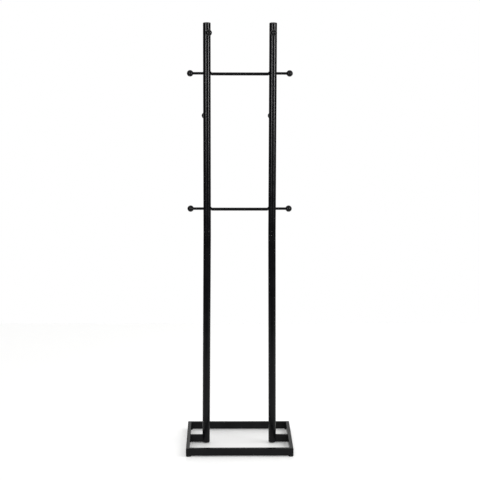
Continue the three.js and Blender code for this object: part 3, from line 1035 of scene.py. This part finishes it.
class RACK_OT_joint_screws(bpy.types.Operator):
    """Builds the domed socket screws that lock the joints of the uprights"""

    bl_idname = "rack.joint_screws"
    bl_label = "Joint screws"

    def execute(self, context):
        sizes = context.scene.rack_sizes
        seat = tube_radius() + SEAT_GAP
        shank = sizes.screw_shank / 2
        tip = seat - sizes.screw_reach
        point = shank * 0.8
        crown = sizes.screw_crown
        top = seat + crown
        straight = 0.25         # share of the crown below its dome
        socket = hexagon(sizes.screw_socket)
        socket_floor = seat + 0.2 * crown
        steps = 8
        segments = 12 * 6       # a multiple of the socket's six sides
        for name in SIDES:
            node = f"{name}_joint_screw"
            head = box_size(node).z / 2
            rim = 0.56 * head
            outline = [(0, tip), (point, tip), (shank, tip + MM), (shank, seat), (head, seat),
                       (head, seat + straight * crown)]
            profile = rounded_corners(outline, sizes.screw_edge)
            for step in range(1, steps + 1):
                slope = step / steps * math.pi / 2
                rise = straight + (1 - straight) * (1 - math.cos(slope))
                profile.append((head - (head - rim) * math.sin(slope), seat + crown * rise))
            profile += [(socket, top), (socket, socket_floor), (0, socket_floor)]
            screw = turned(profile, segments)
            add_piece(f"screw_{name}_joint", screw, outward(name, node), [node])
        return {"FINISHED"}


# ---- Crossbars ---------------------------------------------------------------


class RACK_OT_crossbars(bpy.types.Operator):
    """Builds the two crossbars and the saddle washers at their ends"""

    bl_idname = "rack.crossbars"
    bl_label = "Crossbars"

    def execute(self, context):
        sizes = context.scene.rack_sizes
        for level in LEVELS:
            node = f"{level}_crossbar"
            outer = box_size(node).z / 2
            half = box_size(node).x / 2
            bar = pipe(outer, outer - sizes.bar_wall, -half, half, sizes.tube_edge, sizes.round_steps)
            add_piece(f"bar_{level}", bar, at(box_middle(node)) @ LAID, [node])
            for name, side in SIDES.items():
                node = f"{level}_{name}_washer"
                washer, place = self.saddle(sizes, name, side, node)
                add_piece(f"washer_{level}_{name}", washer, place, [node])
        return {"FINISHED"}

    def saddle(self, sizes, name, side, node):
        """A washer hollowed to the upright on one side and flat to the bar on the other, and its place."""
        low, high = box(node)
        axis = box_middle(f"{name}_upper_tube").x
        face = max(abs(low.x - axis), abs(high.x - axis))
        radius = (high.z - low.z) / 2
        bore = sizes.rod_diameter / 2 + sizes.loose_gap
        seat = tube_radius() + SEAT_GAP
        middle = (face + seat) / 2
        outline = [(bore, middle), (bore, tube_radius() / 2), (radius, tube_radius() / 2), (radius, face),
                   (bore, face), (bore, middle)]
        edge = 0.5 * MM
        points, faces = lathed(outline, edge, sizes.round_steps)
        for point in points:
            if point.z < middle - MM / 2:
                tube = math.sqrt(seat ** 2 - point.y ** 2)
                point.z = tube + (point.z - tube_radius() / 2)
        place = at((axis, 0, (low.z + high.z) / 2), 0 if side < 0 else math.pi) @ LAID
        return (points, faces), place


# ---- Pegs --------------------------------------------------------------------


class RACK_OT_pegs(bpy.types.Operator):
    """Builds the eight pegs"""

    bl_idname = "rack.pegs"
    bl_label = "Pegs"

    def execute(self, context):
        sizes = context.scene.rack_sizes
        radius = box_size("upper_right_side_peg").z / 2
        shoulder = ball_face(sizes) - SEAT_GAP
        spigot = sizes.spigot_diameter / 2
        tip = shoulder + sizes.spigot_length
        seat = tube_radius() + SEAT_GAP
        bore = sizes.rod_diameter / 2 + THREAD_GAP
        bottom = tube_radius() + sizes.rod_reach + MM      # a millimetre past the rod's end
        stud = sizes.rod_diameter / 2
        flange = seat + sizes.rivet_flange + SEAT_GAP
        inner_tip = tube_radius() - sizes.tube_wall - sizes.rivet_length
        sleeve = [(0, bottom), (bore, bottom), (bore, seat)], seat
        screwed = [(0, inner_tip), (stud, inner_tip), (stud, flange)], flange
        for ends, (inner, face) in ((SIDE_ENDS, sleeve), (CROSS_ENDS, screwed)):
            outline = [*inner, (radius - sizes.peg_edge, face), (radius, face + sizes.peg_edge),
                       (radius, shoulder), (spigot, shoulder), (spigot, tip), (0, tip)]
            peg = lathed(outline, sizes.fine_edge, sizes.round_steps)
            for name, end in ends:
                add_piece(f"peg_{end}", peg, outward(name, f"{end}_ball"), [f"{end}_peg"])
        return {"FINISHED"}


class RACK_OT_balls(bpy.types.Operator):
    """Builds the eight moulded balls"""

    bl_idname = "rack.balls"
    bl_label = "Balls"

    def execute(self, context):
        sizes = context.scene.rack_sizes
        radius = sizes.ball_diameter / 2
        flat = sizes.ball_flat / 2
        bore = sizes.spigot_diameter / 2 + THREAD_GAP
        middle = ball_reach(sizes)
        face = ball_face(sizes)
        bottom = face + sizes.spigot_length + 2 * SEAT_GAP
        bevel = Vector((0.5, 0.35)) * MM
        outline = [(0, bottom), (bore, bottom), (bore, face), (flat, face),
                   (flat + bevel.x, face + bevel.y)]
        profile = rounded_corners(outline, sizes.fine_edge)
        steps = 40
        gate = math.radians(6)
        first = math.acos((middle - face - 2 * bevel.y) / radius)
        ridge_width = 0.35 * MM
        for step in range(steps + 1):
            turn = first + (math.pi - gate - first) * step / steps
            along = -math.cos(turn) * radius
            ridge = sizes.ball_ridge if abs(along) < ridge_width else 0
            profile.append(((radius + ridge) * math.sin(turn), middle + along))
        dimple = 0.2 * MM
        last = profile[-1]
        profile += [(last[0] * 0.8, last[1] - dimple), (0, last[1] - dimple)]
        segments = 64
        ball = turned(profile, segments)
        for name, end in SIDE_ENDS + CROSS_ENDS:
            node = f"{end}_ball"
            add_piece(f"ball_{end}", ball, outward(name, node), [node], "ball_plastic")
        return {"FINISHED"}


class RACK_OT_rivet_nuts(bpy.types.Operator):
    """Builds the rivet nuts behind the front and rear pegs"""

    bl_idname = "rack.rivet_nuts"
    bl_label = "Rivet nuts"

    def execute(self, context):
        sizes = context.scene.rack_sizes
        bore = sizes.rod_diameter / 2 + THREAD_GAP
        body = sizes.rivet_body / 2
        back = tube_radius() + SEAT_GAP
        front = back + sizes.rivet_flange
        inner = tube_radius() - sizes.tube_wall - sizes.rivet_length + MM
        middle = (inner + back) / 2
        for name, end in CROSS_ENDS:
            node = f"{end}_rivet_nut"
            flange = box_size(node).z / 2
            outline = [(bore, middle), (bore, inner), (body, inner), (body, back), (flange, back),
                       (flange, front), (bore, front), (bore, middle)]
            nut = lathed(outline, sizes.turned_edge, sizes.round_steps)
            add_piece(f"rivet_{end}", nut, outward(name, f"{end}_ball"), [node])
        return {"FINISHED"}


class RACK_OT_inner_hardware(bpy.types.Operator):
    """Gives the CAD's own tie rods, sleeves, bolts and nuts their zinc finish"""

    bl_idname = "rack.inner_hardware"
    bl_label = "Inner hardware"

    def execute(self, context):
        nodes = [f"{level}_tie_rod" for level in LEVELS]
        for name in SIDES:
            nodes += [f"{name}_joint_sleeve", f"{name}_stub_bolt", f"{name}_stub_nut"]
        for node in nodes:
            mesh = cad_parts[node].data
            mesh.materials.clear()
            mesh.materials.append(finish("zinc_steel"))
        return {"FINISHED"}


# ---- Studio ------------------------------------------------------------------


def add_panel(name, place, towards, width, height, radiance):
    """A rectangular area light of an even radiance, unseen by the camera itself."""
    light = bpy.data.lights.new(name, "AREA")
    light.shape = "RECTANGLE"
    light.size = width
    light.size_y = height
    light.energy = radiance * math.pi * width * height
    panel = bpy.data.objects.new(name, light)
    panel.visible_camera = False
    panel.location = place
    panel.rotation_euler = (place - towards).to_track_quat("Z", "Y").to_euler()
    bpy.context.scene.collection.objects.link(panel)
    return panel


def direction_to(azimuth, rise=0.0):
    """Direction from the rack, by the angle to the right of its front and the one above the floor."""
    level = math.cos(rise)
    return Vector((math.sin(azimuth) * level, -math.cos(azimuth) * level, math.sin(rise)))


def add_softbox(name, azimuth, studio, radiance):
    """An upright strip softbox that lights only the rack. Its lower part fades out in steps."""
    away = direction_to(azimuth)
    count = studio.box_steps
    rise = (studio.box_full - studio.box_bottom) / count
    strips = []
    for step in range(count):
        strips.append((studio.box_bottom + step * rise, rise, ((step + 0.5) / count) ** 2))
    strips.append((studio.box_full, studio.box_top - studio.box_full, 1))
    for number, (bottom, height, share) in enumerate(strips):
        middle = UP * (bottom + height / 2)
        strip = add_panel(f"{name}_{number}", away * studio.box_distance + middle, middle,
                          studio.box_width, height, radiance * share)
        strip.light_linking.receiver_collection = bpy.data.collections["all_but_floor"]


def add_key(studio):
    """A large panel high on the right that lights only the floor and shades it beside the rails."""
    place = direction_to(studio.key_azimuth, studio.key_rise) * studio.key_distance
    panel = add_panel("key_panel", place, Vector(), studio.key_size, studio.key_size, studio.key_glow)
    panel.light_linking.receiver_collection = bpy.data.collections["floor_only"]


def add_surroundings(studio):
    """White to the camera. The rack is lit by a pale ceiling, a lit backdrop and a dark room."""
    world = bpy.data.worlds.new("studio_surroundings")
    world.use_nodes = True
    tree = world.node_tree
    tree.nodes.clear()
    direction = add_node(tree, "ShaderNodeTexCoord").outputs["Generated"]
    parts = add_node(tree, "ShaderNodeSeparateXYZ", {"Vector": direction}).outputs
    ceiling = between(tree, parts["Z"], studio.room_glow, studio.ceiling_glow, 0.25, 0.85)
    backdrop = between(tree, parts["Y"], 0, studio.backdrop_glow, 0.25, 0.8)
    total = add_node(tree, "ShaderNodeMath", {0: ceiling, 1: backdrop}, operation="ADD").outputs[0]
    lit = add_node(tree, "ShaderNodeBackground", {"Color": WHITE, "Strength": total})
    seen = add_node(tree, "ShaderNodeBackground", {"Color": WHITE, "Strength": 1.0})
    path = add_node(tree, "ShaderNodeLightPath").outputs["Is Camera Ray"]
    either = add_node(tree, "ShaderNodeMixShader", {0: path, 1: lit.outputs[0], 2: seen.outputs[0]})
    add_node(tree, "ShaderNodeOutputWorld", {"Surface": either.outputs[0]})
    bpy.context.scene.world = world


def add_camera(studio):
    """The camera, aimed by its turn, drop and roll."""
    turn, drop, roll = studio.camera_turn, studio.camera_drop, studio.camera_roll
    ahead = Vector((math.sin(turn) * math.cos(drop), math.cos(turn) * math.cos(drop), -math.sin(drop)))
    level = ahead.cross(UP).normalized()
    over = level.cross(ahead)
    right = level * math.cos(roll) + over * math.sin(roll)
    above = over * math.cos(roll) - level * math.sin(roll)
    lens = bpy.data.cameras.new("camera")
    lens.sensor_width = 36
    lens.lens = studio.camera_lens
    camera = bpy.data.objects.new("camera", lens)
    aim = Matrix((right, above, -ahead)).transposed().to_4x4()
    camera.matrix_world = Matrix.Translation(studio.camera_place) @ aim
    bpy.context.scene.collection.objects.link(camera)
    bpy.context.scene.camera = camera


class RACK_OT_studio(bpy.types.Operator):
    """Builds the floor, the soft lights, the surroundings and the camera"""

    bl_idname = "rack.studio"
    bl_label = "Studio"

    def execute(self, context):
        studio = context.scene.rack_studio
        half = studio.floor_size / 2
        front = -studio.floor_front
        outline = (-half, front), (half, front), (half, half), (-half, half)
        floor = bare_object("floor_panel", ([Vector((x, y, 0)) for x, y in outline], [[0, 1, 2, 3]]))
        floor.data.materials.append(satin_floor_panel())
        for name, state in (("floor_only", "INCLUDE"), ("all_but_floor", "EXCLUDE")):
            group = bpy.data.collections.new(name)
            group.objects.link(floor)
            group.collection_objects[0].light_linking.link_state = state
        add_softbox("softbox_left", studio.left_azimuth, studio, studio.left_glow)
        add_softbox("softbox_right", studio.right_azimuth, studio, studio.right_glow)
        add_key(studio)
        add_surroundings(studio)
        add_camera(studio)
        context.scene.view_settings.view_transform = "Standard"
        return {"FINISHED"}


# ---- Add-on ------------------------------------------------------------------

BUILDERS = (
    RACK_OT_rails, RACK_OT_corner_welds, RACK_OT_stubs, RACK_OT_bolt_covers, RACK_OT_feet,
    RACK_OT_foot_inserts, RACK_OT_tubes, RACK_OT_caps, RACK_OT_joint_screws, RACK_OT_crossbars,
    RACK_OT_pegs, RACK_OT_balls, RACK_OT_rivet_nuts, RACK_OT_inner_hardware, RACK_OT_studio,
)


class RACK_PT_panel(bpy.types.Panel):
    """Lists the builders, the sizes and the colours"""

    bl_idname = "RACK_PT_panel"
    bl_label = "Coat rack"
    bl_space_type = "VIEW_3D"
    bl_region_type = "UI"
    bl_category = "Coat rack"

    def draw(self, context):
        for builder in BUILDERS:
            self.layout.operator(builder.bl_idname)
        for settings in (context.scene.rack_sizes, context.scene.rack_colours, context.scene.rack_studio):
            column = self.layout.column()
            for name in settings.bl_rna.properties.keys():
                if name not in ("rna_type", "name"):
                    column.prop(settings, name)


CLASSES = (RackSizes, RackColours, StudioSettings, *BUILDERS, RACK_PT_panel)


def register():
    """Registers the add-on's classes and its settings."""
    for item in CLASSES:
        bpy.utils.register_class(item)
    bpy.types.Scene.rack_sizes = PointerProperty(type=RackSizes)
    bpy.types.Scene.rack_colours = PointerProperty(type=RackColours)
    bpy.types.Scene.rack_studio = PointerProperty(type=StudioSettings)


def unregister():
    """Removes the settings and the classes."""
    del bpy.types.Scene.rack_studio
    del bpy.types.Scene.rack_colours
    del bpy.types.Scene.rack_sizes
    for item in reversed(CLASSES):
        bpy.utils.unregister_class(item)


def main():
    """Builds every piece and the studio."""
    register()
    for builder in BUILDERS:
        group, name = builder.bl_idname.split(".")
        getattr(getattr(bpy.ops, group), name)()


if __name__ == "__main__":
    main()
